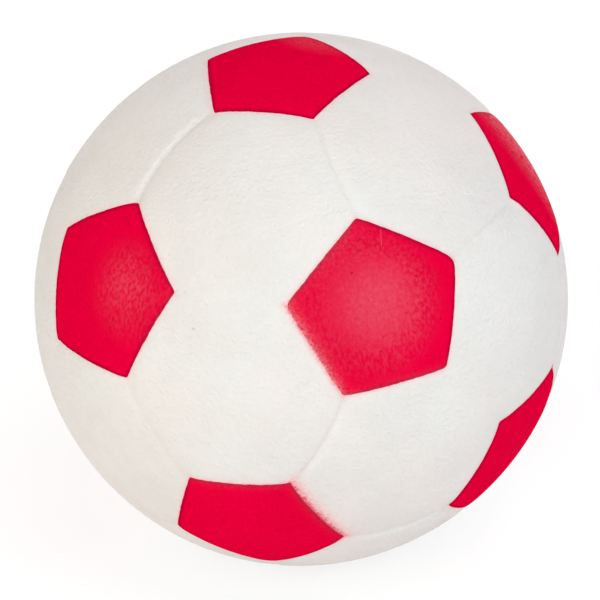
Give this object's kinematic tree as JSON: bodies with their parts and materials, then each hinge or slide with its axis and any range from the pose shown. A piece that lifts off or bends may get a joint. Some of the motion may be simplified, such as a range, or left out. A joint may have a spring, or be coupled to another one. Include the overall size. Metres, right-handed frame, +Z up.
{
  "type": "foam ball",
  "caption": "Soft round foam play ball with a moulded pattern of pentagons and hexagons, a white skin and red painted pentagons, for kicking and throwing indoors.",
  "frame": {"origin": "the ball's centre", "axes": "+Z up through the middles of the top and bottom pentagons, -Z towards the floor, -Y towards the front"},
  "size_m": [0.1996, 0.2, 0.1993],
  "materials": {
    "foam": "matte open foam",
    "white_skin": "satin, fine grain",
    "red_coat": "satin sprayed paint"
  },
  "bodies": {
    "root": {"foam_core": "foam", "white_skin": "white_skin", "red_pentagon_top": "red_coat", "red_pentagon_upper_1": "red_coat", "red_pentagon_upper_2": "red_coat", "red_pentagon_upper_3": "red_coat", "red_pentagon_upper_4": "red_coat", "red_pentagon_upper_5": "red_coat", "red_pentagon_lower_1": "red_coat", "red_pentagon_lower_2": "red_coat", "red_pentagon_lower_3": "red_coat", "red_pentagon_lower_4": "red_coat", "red_pentagon_lower_5": "red_coat", "red_pentagon_bottom": "red_coat"}
  },
  "joints": []
}
